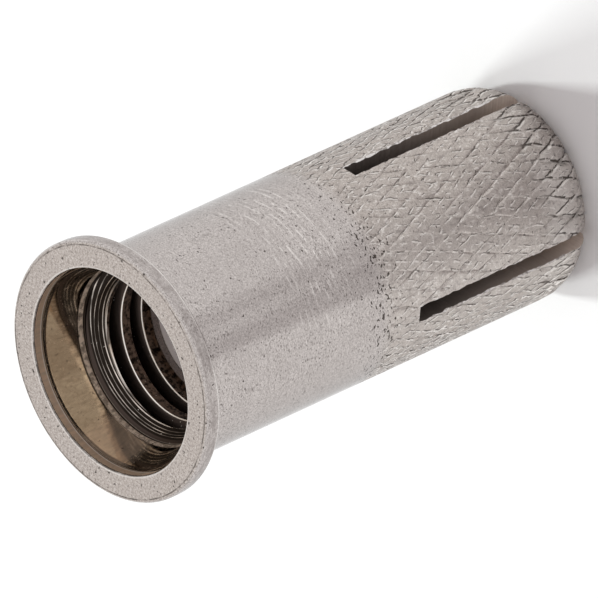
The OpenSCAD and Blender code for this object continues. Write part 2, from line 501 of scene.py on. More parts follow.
# %% The thread
RUN_OUT = (0.1, 0.85)
turned = calc(tree, "DIVIDE", angle, 2 * math.pi)
climb_z = calc(tree, "MULTIPLY_ADD", turned, given["Thread Pitch"], height)
helix_z = put(tree, "ShaderNodeClamp", {0: climb_z, 1: PLUG_BORE_Z * MM, 2: LEAD_Z * MM}).outputs[0]
bore_z = mix(tree, share["helix"], height, helix_z)
phase = calc(tree, "ADD", calc(tree, "DIVIDE", height, given["Thread Pitch"]), THREAD_START)
from_root = calc(tree, "ABSOLUTE", calc(tree, "SUBTRACT", phase, calc(tree, "ROUND", phase)))
flank = ramp(tree, from_root, ROOT_SHARE / 2, crest_corner, 1.0, 0.0, "LINEAR")
run_out = ramp(tree, bore_z, *((PLUG_BORE_Z + step) * MM for step in RUN_OUT))
thread_cut = product(tree, flank, run_out, given["Thread Depth"])
thread_r = calc(tree, "ADD", given["Tapping Radius"], thread_cut)
drilled_r = ramp(tree, bore_z, TAP_Z * MM, LEAD_Z * MM, TAP_R * MM, THREAD_R * MM, "LINEAR")
helix_r = calc(tree, "MAXIMUM", drilled_r, thread_r)
tapped_r = mix(tree, share["helix"], radius, helix_r)
print("nodes with the thread:", len(tree.nodes))

# %% Rolling the grid up
SEAM = 0.002
groove_cut = calc(tree, "MULTIPLY", groove, given["Groove Depth"])
lean = calc(tree, "MULTIPLY", groove_cut, share["tilt"])
level = calc(tree, "SQRT", calc(tree, "SUBTRACT", 1.0, calc(tree, "POWER", share["tilt"], 2)))
knurled_r = calc(tree, "SUBTRACT", tapped_r, calc(tree, "MULTIPLY", groove_cut, level))
knurled_z = calc(tree, "ADD", calc(tree, "ADD", bore_z, lean), drift_up)
cut_place = round_place(tree, wander_angle, knurled_r, knurled_z)
rolled = put(tree, "GeometryNodeSetPosition", {"Geometry": marked, "Position": cut_place}).outputs[0]
welded = {"Geometry": rolled, "Distance": SEAM * MM}
closed = put(tree, "GeometryNodeMergeByDistance", welded).outputs[0]
print("nodes of the turned skin:", len(tree.nodes))

# %% [markdown]
# ## The saw slots
# Four slots split the expansion end into legs. They could be left out of the grid from the start, but a
# saw cuts through whatever is there, groove or plateau, and a Mesh Boolean does the same. One block is
# the saw's path. A second block widens outwards like a wedge and only skims the skin, which leaves the
# small rubbed bevel that shows as a bright line round each slot. Both stand round the axis as instances,
# and a little noise on their points stands for the saw's shiver, so that no edge is ruler straight.

# %% Blocks for the saw
SLOT_COUNT = 4
SLOT_INNER = 1.5
SLOT_OUTER = 7.0
BELOW_END = 1.0
SLOT_POINTS = 90
SHIVER_SCALE = 2200.0


def saw_blocks(tree, inner, width, length, wedge):
    """Four blocks round the axis. A wedge of 1 widens them outwards at 45 degrees."""
    reach = calc(tree, "SUBTRACT", SLOT_OUTER * MM, inner)
    size = vector(tree, X=reach, Y=width, Z=calc(tree, "ADD", length, BELOW_END * MM))
    block = put(tree, "GeometryNodeMeshCube", {"Size": size, "Vertices Z": SLOT_POINTS}).outputs[0]
    corner = axes(tree, position(tree))
    widen = product(tree, reach, wedge, calc(tree, "GREATER_THAN", corner["X"], 0))
    grow_y = calc(tree, "MULTIPLY", widen, calc(tree, "SIGN", corner["Y"]))
    grow_z = calc(tree, "MULTIPLY", widen, calc(tree, "GREATER_THAN", corner["Z"], 0))
    grown = {"Geometry": block, "Offset": vector(tree, Y=grow_y, Z=grow_z)}
    shaped = put(tree, "GeometryNodeSetPosition", grown).outputs[0]
    shift_x = calc(tree, "MULTIPLY", calc(tree, "ADD", inner, SLOT_OUTER * MM), 0.5)
    shift_z = calc(tree, "MULTIPLY", calc(tree, "SUBTRACT", length, BELOW_END * MM), 0.5)
    shifted = {"Geometry": shaped, "Translation": vector(tree, X=shift_x, Z=shift_z)}
    placed = put(tree, "GeometryNodeTransform", shifted).outputs[0]
    spots = put(tree, "GeometryNodeMeshLine", {"Count": SLOT_COUNT, "Offset": (0, 0, 0)}).outputs[0]
    number = put(tree, "GeometryNodeInputIndex").outputs[0]
    spin = vector(tree, Z=calc(tree, "MULTIPLY", number, 2 * math.pi / SLOT_COUNT))
    copies = {"Points": spots, "Instance": placed, "Rotation": spin}
    four = put(tree, "GeometryNodeInstanceOnPoints", copies).outputs[0]
    whole = put(tree, "GeometryNodeRealizeInstances", {"Geometry": four}).outputs[0]
    noise = put(tree, "ShaderNodeTexNoise", {"Scale": SHIVER_SCALE, "Detail": 2.0}).outputs["Color"]
    sway = put(tree, "ShaderNodeVectorMath", {0: noise, 1: (0.5, 0.5, 0.5)}, operation="SUBTRACT")
    scaled = {0: sway.outputs[0], "Scale": given["Slot Shiver"]}
    sway = put(tree, "ShaderNodeVectorMath", scaled, operation="SCALE").outputs[0]
    return put(tree, "GeometryNodeSetPosition", {"Geometry": whole, "Offset": sway}).outputs[0]


print("saw blocks:", SLOT_COUNT)

# %% The saw slots
EASE = 0.01


def in_finish(tree, geometry, label, where=True):
    """Gives a geometry one of the tree's materials, everywhere or where a field says so."""
    feeds = {"Geometry": geometry, "Selection": where, "Material": given[label]}
    return put(tree, "GeometryNodeSetMaterial", feeds).outputs[0]


def cut_off(tree, mesh, tool):
    """Cuts a tool's volume off a mesh. The cut faces keep the tool's material."""
    feeds = {"Mesh 1": mesh, "Mesh 2": tool}
    return put(tree, "GeometryNodeMeshBoolean", feeds, operation="DIFFERENCE", solver="MANIFOLD").outputs[0]


saw_path = saw_blocks(tree, SLOT_INNER * MM, given["Slot Width"], given["Slot Length"], 0.0)
skim_r = calc(tree, "SUBTRACT", (BODY_R - EASE) * MM, given["Slot Burr"])
skim_w = calc(tree, "SUBTRACT", given["Slot Width"], 2 * EASE * MM)
skim_l = calc(tree, "SUBTRACT", given["Slot Length"], EASE * MM)
skim = saw_blocks(tree, skim_r, skim_w, skim_l, 1.0)
sawn = cut_off(tree, in_finish(tree, closed, "Plated"), in_finish(tree, saw_path, "Sawn"))
eased = cut_off(tree, sawn, in_finish(tree, skim, "Rubbed"))
print("nodes with the slots:", len(tree.nodes))

# %% [markdown]
# The cuts brought their own finishes along. The bore is part of the turned skin, so it is picked out by
# its place: inside the mouth's radius, below the mouth's edge and above the plug.

# %% Which finish goes where
BORE_EASE = 0.02
realized = put(tree, "GeometryNodeRealizeInstances", {"Geometry": eased}).outputs[0]
spot = axes(tree, position(tree))
square_x = calc(tree, "POWER", spot["X"], 2)
square_y = calc(tree, "POWER", spot["Y"], 2)
from_axis = calc(tree, "SQRT", calc(tree, "ADD", square_x, square_y))
in_bore = calc(tree, "LESS_THAN", from_axis, (MOUTH_R + BORE_EASE) * MM)
below_mouth = calc(tree, "LESS_THAN", spot["Z"], (LENGTH - MOUTH_EDGE_R) * MM)
above_plug = calc(tree, "GREATER_THAN", spot["Z"], PLUG_BORE_Z * MM)
bore_face = product(tree, in_bore, below_mouth, above_plug)
put(tree, "NodeGroupOutput", {0: in_finish(tree, realized, "Bore", bore_face)})
print("nodes of the sleeve's tree:", len(tree.nodes))

# %% [markdown]
# ## Plated finish
# The outside is satin nickel over brass: a warm grey metal, neither mirror nor matt. One flat grey would
# look like paint. Close up the plating has a fine speckle that runs round with the turning, faint rings,
# short arcs where the tool chattered, drawn as a painted highlight with a painted shade beside it, dark
# pits above the knurl, and soft clouds. All of that comes from noise on Object coordinates, turned into
# millimetres so that a scale of 5 means a grain of about a fifth of a millimetre. Each mark is laid over
# the last one by a share from 0 to 1.

# %% Helpers for finishes
def start_finish(name):
    """A new metal material, its tree, its shader and the place on the piece in millimetres."""
    material = bpy.data.materials.new(name)
    material.use_nodes = True
    tree = material.node_tree
    shader = tree.nodes["Principled BSDF"]
    shader.inputs["Metallic"].default_value = 1.0
    spot = put(tree, "ShaderNodeTexCoord").outputs["Object"]
    millimetres = put(tree, "ShaderNodeVectorMath", {0: spot, "Scale": 1 / MM}, operation="SCALE").outputs[0]
    return material, tree, shader, millimetres


def along(tree, place, stretch):
    """The place with each axis stretched by its own factor."""
    return put(tree, "ShaderNodeVectorMath", {0: place, 1: stretch}, operation="MULTIPLY").outputs[0]


def grain(tree, place, scale, detail=3.0, roughness=0.55):
    """Noise from 0 to 1. The scale is in features per millimetre, one for all axes or one for each."""
    if isinstance(scale, tuple):
        place = along(tree, place, scale)
        scale = 1.0
    feeds = {"Vector": place, "Scale": scale, "Detail": detail, "Roughness": roughness}
    return put(tree, "ShaderNodeTexNoise", feeds).outputs[0]


print("helpers for finishes ready")


# %% Helpers for colour and relief
def tint(tree, share, colour_low, colour_high):
    """A colour between two, by a share."""
    node = put(tree, "ShaderNodeMix", {0: share}, data_type="RGBA")
    for socket, colour in ((6, colour_low), (7, colour_high)):
        if isinstance(colour, bpy.types.NodeSocket):
            tree.links.new(colour, node.inputs[socket])
        else:
            node.inputs[socket].default_value = (*colour, 1.0)
    return node.outputs[2]


def coat(tree, base, colour, *shares):
    """Lays a colour over another, as strongly as the product of its shares."""
    return tint(tree, product(tree, *shares), base, colour)


def dent(tree, shader, height, depth_mm, after=None):
    """Bump from a height, with its depth in millimetres, on top of an earlier one."""
    node = put(tree, "ShaderNodeBump", {"Height": height, "Distance": depth_mm * MM, "Strength": 1.0})
    if after is not None:
        tree.links.new(after, node.inputs["Normal"])
    tree.links.new(node.outputs[0], shader.inputs["Normal"])
    return node.outputs[0]


print("helpers for colour and relief ready")

# %% Helpers for places on a turned piece
DRIFT = 9.0


def lathe_place(tree, place):
    """Distance from the axis, height and angle round the axis, in millimetres and radians."""
    spot = axes(tree, place)
    square = calc(tree, "MULTIPLY_ADD", spot["X"], spot["X"], calc(tree, "MULTIPLY", spot["Y"], spot["Y"]))
    return calc(tree, "SQRT", square), spot["Z"], calc(tree, "ARCTAN2", spot["Y"], spot["X"])


def towards(tree, around, side):
    """1 on one side of the axis, falling to -1 on the opposite side."""
    return calc(tree, "COSINE", calc(tree, "SUBTRACT", around, side))


def span(tree, value, low, high, soft):
    """1 between two limits and 0 beyond them, with soft ends."""
    rise = ramp(tree, value, low - soft, low + soft)
    return calc(tree, "MULTIPLY", rise, ramp(tree, value, high - soft, high + soft, 1.0, 0.0))


def ripples(tree, up, step, bend):
    """A wave along the axis with a step in millimetres, bent by noise."""
    sweep = calc(tree, "MULTIPLY_ADD", up, 2 * math.pi / step, calc(tree, "MULTIPLY", bend, DRIFT))
    return calc(tree, "SINE", sweep)


print("helpers for turned places ready")

# %% Plated finish: speckle
NICKEL_LIGHT = (0.655, 0.606, 0.584)
NICKEL_DARK = (0.27, 0.238, 0.226)
plated_finish, tree, shader, place = start_finish("plated_sleeve_nickel")
from_axis, up, around = lathe_place(tree, place)
turned_place = along(tree, place, (0.55, 0.55, 1.0))
speckle = grain(tree, turned_place, 20.0, 1.0, 0.6)
clouds = grain(tree, place, 0.35)
rings = grain(tree, place, (0.03, 0.03, 9.0), 2.0)
tone = calc(tree, "MULTIPLY_ADD", clouds, 0.2, calc(tree, "MULTIPLY", rings, 0.2))
tone = ramp(tree, calc(tree, "ADD", speckle, tone), 0.38, 0.93, 0, 1, "LINEAR")
base = tint(tree, tone, NICKEL_DARK, NICKEL_LIGHT)
print("nodes of the speckle:", len(tree.nodes))

# %% Plated finish: the tool's chatter
# A pale tone, used for light grain and for painted highlights
PALE_GRAIN_AND_HIGHLIGHT_TONE = (0.86, 0.82, 0.785)
CHATTER_SIDE = math.radians(-22)
CHATTER_STEP = 0.40
CHATTER_BELT = (17.2, 21.8)
wave = ripples(tree, up, CHATTER_STEP, grain(tree, place, (0.35, 0.35, 0.5), 2.0))
on_side = ramp(tree, towards(tree, around, CHATTER_SIDE), 0.4, 0.85)
gaps = ramp(tree, grain(tree, place, (1.3, 1.3, 2.6), 2.0), 0.48, 0.60)
on_chatter = product(tree, on_side, gaps, span(tree, up, *CHATTER_BELT, 1.0))
# The chatter arcs are painted: a painted highlight on each ridge and a painted shade beside it. The bump
# further down gives their real relief
base = coat(tree, base, PALE_GRAIN_AND_HIGHLIGHT_TONE, ramp(tree, wave, 0.5, 0.95), on_chatter, 0.48)
base = coat(tree, base, NICKEL_DARK, ramp(tree, wave, -0.5, -0.95), on_chatter, 0.3)
print("nodes with the chatter:", len(tree.nodes))

# %% Plated finish: specks, mouth face and pits
FACE_WARM = (0.56, 0.465, 0.38)
# A near black, used for pits and specks and for painted shade
PIT_AND_SHADE_TONE = (0.07, 0.058, 0.05)
# The side with more pits. The knurl's painted light also faces this way
PITTED_AND_PAINTED_LIGHT_SIDE = math.radians(-72)
PITTED_BELT = (14.7, 16.6)
specks = ramp(tree, grain(tree, turned_place, 13.0, 1.0), 0.58, 0.68, 0.0, 0.6)
base = coat(tree, base, PIT_AND_SHADE_TONE, specks, ramp(tree, clouds, 0.38, 0.6, 0.35, 1.0))
on_top = ramp(tree, up, LENGTH - 0.06, LENGTH - 0.01)
on_face = calc(tree, "MULTIPLY", on_top, 0.28)
base = coat(tree, base, FACE_WARM, on_face)
face_grain = grain(tree, place, 7.0, 3.0, 0.7)
base = coat(tree, base, NICKEL_DARK, on_top, ramp(tree, face_grain, 0.50, 0.34, 0.0, 0.55))
base = coat(tree, base, PALE_GRAIN_AND_HIGHLIGHT_TONE, on_top, ramp(tree, face_grain, 0.54, 0.70, 0.0, 0.5))
facing = towards(tree, around, PITTED_AND_PAINTED_LIGHT_SIDE)
pitted = product(tree, span(tree, up, *PITTED_BELT, 0.8), ramp(tree, facing, 0.1, 0.9, 0.35, 1.0))
pit_level = calc(tree, "MULTIPLY_ADD", pitted, -0.13, calc(tree, "MULTIPLY_ADD", on_face, -0.18, 0.745))
pit_noise = grain(tree, place, (4.3, 4.3, 6.6), 1.0)
pits = ramp(tree, calc(tree, "SUBTRACT", pit_noise, pit_level), 0.0, 0.02, 0.0, 0.95)
print("nodes with the pits:", len(tree.nodes))

# %% [markdown]
# The mesh carries the knurl's grooves. Their fine strokes are too thin for it, so they are drawn in the
# finish as painted shade and painted highlight: a dark line and a bright one side by side, along the same
# two helices and halfway between them, broken up by noise. Near the end the deeper grooves also get a
# painted shade line on one side of their middle and a painted highlight on the other. The side that was
# handled most is worn, and there the strokes are weaker.

# %% Plated finish: painted highlight and shade lines along the knurl
WORN_SIDE = math.radians(-47)
on_knurl = ramp(tree, up, KNURL_TOP, KNURL_TOP - 1.2)
near_end = ramp(tree, up, 4.2, 2.4)
to_worn_side = towards(tree, around, WORN_SIDE)
less_worn = ramp(tree, to_worn_side, 0.8, 0.3, 0.0, 0.08)
crisp = ramp(tree, to_worn_side, 0.8, 0.3, 0.62, 1.0)


def knurl_line(tree, sign, seed):
    """Distance from the nearest fine stroke and groove, the groove's number, and how rubbed it is."""
    shifted = put(tree, "ShaderNodeVectorMath", {0: place, 1: (seed, seed, 0.0)}, operation="ADD").outputs[0]
    wobble = grain(tree, shifted, (0.9, 0.9, 0.6), 3.0, 0.6)
    turns = calc(tree, "MULTIPLY", around, KNURL_STARTS / (2 * math.pi))
    phase = calc(tree, "MULTIPLY_ADD", up, sign / KNURL_CELL, turns)
    phase = calc(tree, "ADD", phase, calc(tree, "MULTIPLY_ADD", wobble, 0.6, -0.3))
    twice = calc(tree, "MULTIPLY", phase, 2.0)
    from_stroke = calc(tree, "SUBTRACT", twice, calc(tree, "ROUND", twice))
    from_groove = calc(tree, "SUBTRACT", phase, calc(tree, "ROUND", phase))
    rubbed = calc(tree, "ADD", grain(tree, shifted, (2.4, 2.4, 2.2), 3.0, 0.6), less_worn)
    return from_stroke, from_groove, calc(tree, "FLOOR", phase), rubbed


# The dark marks start with the pits. The dark strokes and groove lines added to them are painted shade, and
# the bright ones are painted highlights
pits_and_painted_shade_lines = pits
painted_highlight_lines = 0.0
cells = []
for sign, seed in ((1.0, 3.0), (-1.0, 47.0)):
    from_stroke, from_groove, number, rubbed = knurl_line(tree, sign, seed)
    cells.append(number)
    deep = product(tree, ramp(tree, rubbed, 0.43, 0.5), near_end)
    dark = span(tree, from_stroke, 0.02, 0.12, 0.03)
    dark = product(tree, dark, ramp(tree, rubbed, 0.52, 0.58), on_knurl, crisp)
    cut = product(tree, span(tree, from_groove, 0.01, 0.11, 0.02), deep, 0.92)
    light = span(tree, from_stroke, -0.15, -0.02, 0.04)
    light = product(tree, light, ramp(tree, rubbed, 0.50, 0.57), on_knurl)
    edge = product(tree, span(tree, from_groove, -0.13, -0.01, 0.02), deep)
    pits_and_painted_shade_lines = calc(tree, "MAXIMUM", pits_and_painted_shade_lines, calc(tree, "MAXIMUM", dark, cut))
    painted_highlight_lines = calc(tree, "MAXIMUM", painted_highlight_lines, calc(tree, "MAXIMUM", light, edge))
print("nodes with the worn lines:", len(tree.nodes))

# %% Plated finish: tones of the knurl
WORN_BRASS = (0.47, 0.40, 0.335)
cell_place = vector(tree, X=cells[0], Y=cells[1])
cell_noise = put(tree, "ShaderNodeTexWhiteNoise", {"Vector": cell_place}, noise_dimensions="2D")
worn = calc(tree, "MULTIPLY_ADD", near_end, 0.1, 0.2)
# Painted light: the end of the knurl, and the knurl on the side facing this way, are lightened towards the
# pale tone
painted_light_side = ramp(tree, facing, 0.72, 0.97)
bite = grain(tree, place, (4.5, 4.5, 3.0), 2.0)
strokes = calc(tree, "MULTIPLY", painted_highlight_lines, crisp)
base = coat(tree, base, WORN_BRASS, on_knurl, 0.3)
base = coat(tree, base, NICKEL_DARK, on_knurl, cell_noise.outputs["Value"], worn)
base = coat(tree, base, PALE_GRAIN_AND_HIGHLIGHT_TONE, near_end, ramp(tree, painted_light_side, 0.0, 1.0, 0.1, 0.4))
base = coat(tree, base, PALE_GRAIN_AND_HIGHLIGHT_TONE, on_knurl, painted_light_side, 0.13)
base = coat(tree, base, NICKEL_DARK, on_knurl, ramp(tree, bite, 0.42, 0.32, 0.0, 0.5))
base = coat(tree, base, PALE_GRAIN_AND_HIGHLIGHT_TONE, on_knurl, ramp(tree, bite, 0.58, 0.68, 0.0, 0.45))
# Painted highlight and painted shade of the knurl's strokes
base = coat(tree, base, PALE_GRAIN_AND_HIGHLIGHT_TONE, strokes)
base = coat(tree, base, PIT_AND_SHADE_TONE, pits_and_painted_shade_lines)
print("nodes with the knurl's tones:", len(tree.nodes))

# %% Plated finish: the collar's edges
broken = ramp(tree, grain(tree, place, 1.1, 4.0, 0.7), 0.34, 0.58, 0.2, 1.0)
at_top = ramp(tree, up, LENGTH - 0.12, LENGTH - 0.08)
rim_front = span(tree, from_axis, COLLAR_R - 0.27, COLLAR_R - 0.2, 0.02)
base = coat(tree, base, PIT_AND_SHADE_TONE, rim_front, at_top, broken, 0.8)
smudges = ramp(tree, grain(tree, place, (1.4, 1.4, 3.5), 4.0, 0.65), 0.42, 0.62, 0.1, 0.6)
on_rim = span(tree, up, rim_z + 0.22, LENGTH - 0.2, 0.05)
base = coat(tree, base, NICKEL_DARK, on_rim, ramp(tree, from_axis, COLLAR_R - 0.1, COLLAR_R - 0.05), smudges)
# Painted highlight: a bright line along the rounded rear edge of the rim
rim_rear_highlight = span(tree, up, rim_z + 0.08, rim_z + 0.2, 0.03)
rim_rear_highlight = calc(tree, "MULTIPLY", rim_rear_highlight, ramp(tree, from_axis, COLLAR_R - 0.3, COLLAR_R - 0.2))
base = coat(tree, base, PALE_GRAIN_AND_HIGHLIGHT_TONE, rim_rear_highlight, ramp(tree, broken, 0.0, 1.0, 0.95, 0.6))
# Painted highlight along the outer part of the mouth's rounded lip, and painted shade on its inner part
lip_highlight = span(tree, from_axis, MOUTH_R + 0.06, MOUTH_R + 0.13, 0.02)
base = coat(tree, base, PALE_GRAIN_AND_HIGHLIGHT_TONE, lip_highlight, at_top, 0.45)
lip_shade = ramp(tree, from_axis, MOUTH_R + 0.06, MOUTH_R + 0.04)
base = coat(tree, base, PIT_AND_SHADE_TONE, lip_shade, at_top, broken, 0.85)
print("nodes with the collar's edges:", len(tree.nodes))

# %% Plated finish: grooves, sheen and relief
NICKEL_TINT = (0.74, 0.74, 0.74, 1.0)
groove_mark = put(tree, "ShaderNodeAttribute", attribute_name="groove").outputs["Fac"]
base = coat(tree, base, PIT_AND_SHADE_TONE, ramp(tree, groove_mark, 0.45, 1.0, 0.0, 0.4))
tree.links.new(base, shader.inputs["Base Color"])
sheen = ramp(tree, speckle, 0.3, 0.7, 0.17, 0.10, "LINEAR")
sheen = calc(tree, "MULTIPLY_ADD", on_knurl, 0.19, sheen)
tree.links.new(calc(tree, "MULTIPLY_ADD", near_end, 0.12, sheen), shader.inputs["Roughness"])
shader.inputs["Specular Tint"].default_value = NICKEL_TINT
chatter = calc(tree, "MULTIPLY", wave, on_chatter)
depths_mm = [(speckle, 0.004), (rings, 0.004), (chatter, 0.005)]
depths_mm += [(pits, -0.03), (strokes, 0.022), (pits_and_painted_shade_lines, -0.02)]
relief = None
for marks, depth_mm in depths_mm:
    relief = dent(tree, shader, marks, depth_mm, relief)
print("nodes of the plated finish:", len(tree.nodes))

# %% [markdown]
# ## Bore finish
# Plating hardly reaches into a narrow bore, so the flare shows the brass itself, polished by the forming
# tool, less so on one side, with scratches and flecks, and one narrow sector darkened as a painted dark
# reflection. The straight recess above it and the ring below it stayed matt, and a scribed line parts
# recess and flare. The chamfer keeps the lathe's fine lines. The thread is painted dark, partly as old
# cutting oil and partly as painted shade of the deep bore, and a painted highlight runs along the
# corners of its crest. All of it follows the lathe, so the height, the radius and the angle drive the
# finish.

# %% Bore finish: polished flare
BRASS_LIGHT = (0.58, 0.50, 0.405)
BRASS_DARK = (0.43, 0.36, 0.285)
MATT_BRASS = (0.88, 0.64, 0.45)
DULL_BRASS_AND_DARK_REFLECTION = (0.33, 0.26, 0.20)
LESS_POLISHED_SIDE = math.radians(173)
DARK_REFLECTION_SIDE = math.radians(112)
bore_finish, tree, shader, place = start_finish("plated_sleeve_bore")
from_axis, up, around = lathe_place(tree, place)
streaks = grain(tree, place, (6.0, 6.0, 0.7), 3.0, 0.6)
flecks = grain(tree, place, 8.0, 2.0)
base = tint(tree, ramp(tree, streaks, 0.3, 0.7, 0, 1, "LINEAR"), BRASS_DARK, BRASS_LIGHT)
in_recess = ramp(tree, up, RECESS_Z, RECESS_Z + 0.05)
on_ring = span(tree, up, RING_Z - 0.13, RING_Z + 0.17, 0.03)
on_flare = span(tree, up, RING_Z + 0.17, RECESS_Z, 0.05)
scratched = ramp(tree, grain(tree, place, (1.2, 1.2, 5.0), 3.0, 0.7), 0.62, 0.70, 0.0, 0.35)
less_polished = ramp(tree, towards(tree, around, LESS_POLISHED_SIDE), 0.93, 0.985, 0.0, 0.6)
scratched = calc(tree, "MAXIMUM", scratched, less_polished)
scratched = calc(tree, "MAXIMUM", scratched, ramp(tree, flecks, 0.65, 0.71, 0.0, 0.7))
matt = calc(tree, "MAXIMUM", in_recess, on_ring)
matt = calc(tree, "MAXIMUM", matt, calc(tree, "MULTIPLY", scratched, on_flare))
base = coat(tree, base, DULL_BRASS_AND_DARK_REFLECTION, ramp(tree, flecks, 0.42, 0.32, 0.0, 0.6), on_flare)
# Painted dark reflection: a narrow sector of the flare on this side is darkened
flare_dark_reflection = ramp(tree, towards(tree, around, DARK_REFLECTION_SIDE), 0.955, 0.99, 0.0, 0.5)
base = coat(tree, base, DULL_BRASS_AND_DARK_REFLECTION, flare_dark_reflection, on_flare)
base = coat(tree, base, tint(tree, streaks, BRASS_DARK, MATT_BRASS), matt)
print("nodes of the flare:", len(tree.nodes))

# %% Bore finish: ring, scribed line and specks
RING_DARK = (0.36, 0.29, 0.23)
RING_LIGHT = (0.98, 0.83, 0.68)
OIL_AND_SHADE_BLACK = (0.058, 0.043, 0.037)
BRIGHT_LINE = (0.90, 0.84, 0.78)
ring_tone = tint(tree, ramp(tree, grain(tree, place, 3.5, 3.0, 0.7), 0.36, 0.62), RING_DARK, RING_LIGHT)
scribed = span(tree, up, RECESS_Z + 0.05, RECESS_Z + 0.09, 0.012)
lit_line = span(tree, up, RECESS_Z + 0.12, RECESS_Z + 0.18, 0.02)
specks = ramp(tree, grain(tree, place, 3.2, 2.0), 0.68, 0.72, 0.0, 0.85)
under_ring = span(tree, up, LEAD_Z, RING_Z - 0.14, 0.02)
base = coat(tree, base, ring_tone, on_ring)
base = coat(tree, base, OIL_AND_SHADE_BLACK, scribed)
base = coat(tree, base, BRIGHT_LINE, lit_line, 0.8)
base = coat(tree, base, OIL_AND_SHADE_BLACK, specks)
base = coat(tree, base, OIL_AND_SHADE_BLACK, under_ring)
print("nodes with the ring:", len(tree.nodes))

# %% Bore finish: chamfer
CHAMFER_DARK = (0.02, 0.015, 0.012)
CHAMFER_LIGHT = (0.84, 0.75, 0.68)
LINE_STEP = 0.14
rings = grain(tree, place, (0.05, 0.05, 6.5), 2.0, 0.6)
below_ring = ramp(tree, up, LEAD_Z + 0.01, LEAD_Z - 0.02)
lines = ramp(tree, ripples(tree, up, LINE_STEP, rings), 0.66, 0.98)
patchy = ramp(tree, grain(tree, place, (0.8, 0.8, 6.0), 2.0), 0.35, 0.65, 0.2, 1.0)
chamfer = tint(tree, product(tree, lines, patchy), CHAMFER_DARK, CHAMFER_LIGHT)
chamfer = coat(tree, chamfer, OIL_AND_SHADE_BLACK, ramp(tree, up, LEAD_Z - 0.2, LEAD_Z - 0.15))
base = coat(tree, base, chamfer, below_ring)
print("nodes with the chamfer:", len(tree.nodes))

# %% Bore finish: thread, sheen and relief
OILY_LAND = (0.21, 0.155, 0.12)
below_lead = ramp(tree, up, TAP_Z + 0.12, TAP_Z - 0.02)
land = tint(tree, ramp(tree, grain(tree, place, 4.0, 3.0, 0.6), 0.35, 0.6), CHAMFER_DARK, OILY_LAND)
into_groove = ramp(tree, from_axis, TAP_R + 0.03, TAP_R + 0.09)
past_land = ramp(tree, from_axis, TAP_R + 0.003, TAP_R + 0.012)
before_flank = ramp(tree, from_axis, TAP_R + 0.04, TAP_R + 0.065, 1.0, 0.0)
dust = ramp(tree, grain(tree, place, 5.0, 2.0), 0.72, 0.75, 0.0, 0.7)
base = coat(tree, base, land, below_lead)
# Painted shade: the thread's flanks and roots are painted almost black, partly for old oil and partly for
# the dark deep bore. The next line paints a highlight along the corner of the crest
base = coat(tree, base, OIL_AND_SHADE_BLACK, into_groove, below_lead)
base = coat(tree, base, BRIGHT_LINE, past_land, before_flank, below_lead)
base = coat(tree, base, BRIGHT_LINE, dust, below_ring)
tree.links.new(base, shader.inputs["Base Color"])
tree.links.new(calc(tree, "MULTIPLY_ADD", matt, -0.6, 1.0), shader.inputs["Metallic"])
tree.links.new(calc(tree, "MULTIPLY_ADD", on_flare, -0.3, 0.36), shader.inputs["Roughness"])
dent(tree, shader, calc(tree, "MULTIPLY", rings, below_ring), 0.02)
print("nodes of the bore's finish:", len(tree.nodes))

# %% [markdown]
# ## Sawn walls and rubbed edges
# The saw left raw, dull walls, and they are darker towards the closed end of each slot. The bevel along a
# slot is the opposite: every touch rubs it, so it is the brightest metal on the part.

# %% Sawn walls
SAWN_DARK = (0.60, 0.51, 0.45)
SAWN_LIGHT = (0.90, 0.80, 0.72)
SLOT_WALL_MID_TONE = (0.40, 0.335, 0.295)
SLOT_END = (0.05, 0.04, 0.036)
sawn_finish, tree, shader, place = start_finish("plated_sleeve_sawn")
up = axes(tree, place)["Z"]
marks = grain(tree, place, (0.4, 0.4, 9.0))
clean = tint(tree, marks, SAWN_DARK, SAWN_LIGHT)
# The walls get darker towards the closed end of each slot
closed_end_darkening = tint(tree, ramp(tree, up, 4.0, 12.5, 0.0, 0.8), SLOT_WALL_MID_TONE, SLOT_END)
tree.links.new(coat(tree, clean, closed_end_darkening, ramp(tree, up, 0.6, 4.0)), shader.inputs["Base Color"])
shader.inputs["Metallic"].default_value = 0.35
shader.inputs["Roughness"].default_value = 0.6
dent(tree, shader, marks, 0.01)
print("nodes of the sawn finish:", len(tree.nodes))

# %% Rubbed edges
RUBBED_DARK = (0.36, 0.33, 0.31)
RUBBED_LIGHT = (0.82, 0.79, 0.77)
rubbed_finish, tree, shader, place = start_finish("plated_sleeve_rubbed")
speckle = ramp(tree, grain(tree, place, 3.0), 0.38, 0.56)
tree.links.new(tint(tree, speckle, RUBBED_DARK, RUBBED_LIGHT), shader.inputs["Base Color"])
shader.inputs["Roughness"].default_value = 0.35
print("nodes of the rubbed finish:", len(tree.nodes))

# %% [markdown]
# ## Making the sleeve
# The tree is ready, and the modifier gets every size and finish by the identifier of its input. A
# modifier could stay on the object, but other programs can't read it. So the result is kept as a plain
# mesh, with only the finishes that some face uses.

# %% Values for the sleeve's tree
SLEEVE_SIZES = {
    "Columns": COLUMNS,
    "Knurl Starts": KNURL_STARTS,
    "Knurl Cell": KNURL_CELL * MM,
    "Groove Depth": KNURL_H * MM,
    "Groove Wander": 0.22 * MM,
    "Thread Pitch": THREAD_PITCH * MM,
    "Tapping Radius": TAP_R * MM,
    "Thread Depth": (THREAD_R - TAP_R) * MM,
    "Slot Width": 0.9 * MM,
    "Slot Length": 13.1 * MM,
    "Slot Burr": 0.08 * MM,
    "Slot Shiver": 0.22 * MM,
    "Plated": plated_finish,
    "Bore": bore_finish,
    "Sawn": sawn_finish,
    "Rubbed": rubbed_finish,
}
print("inputs of the tree:", len(SLEEVE_SIZES))

# %% From nodes to a plain mesh
SHARP_ANGLE = math.radians(20)


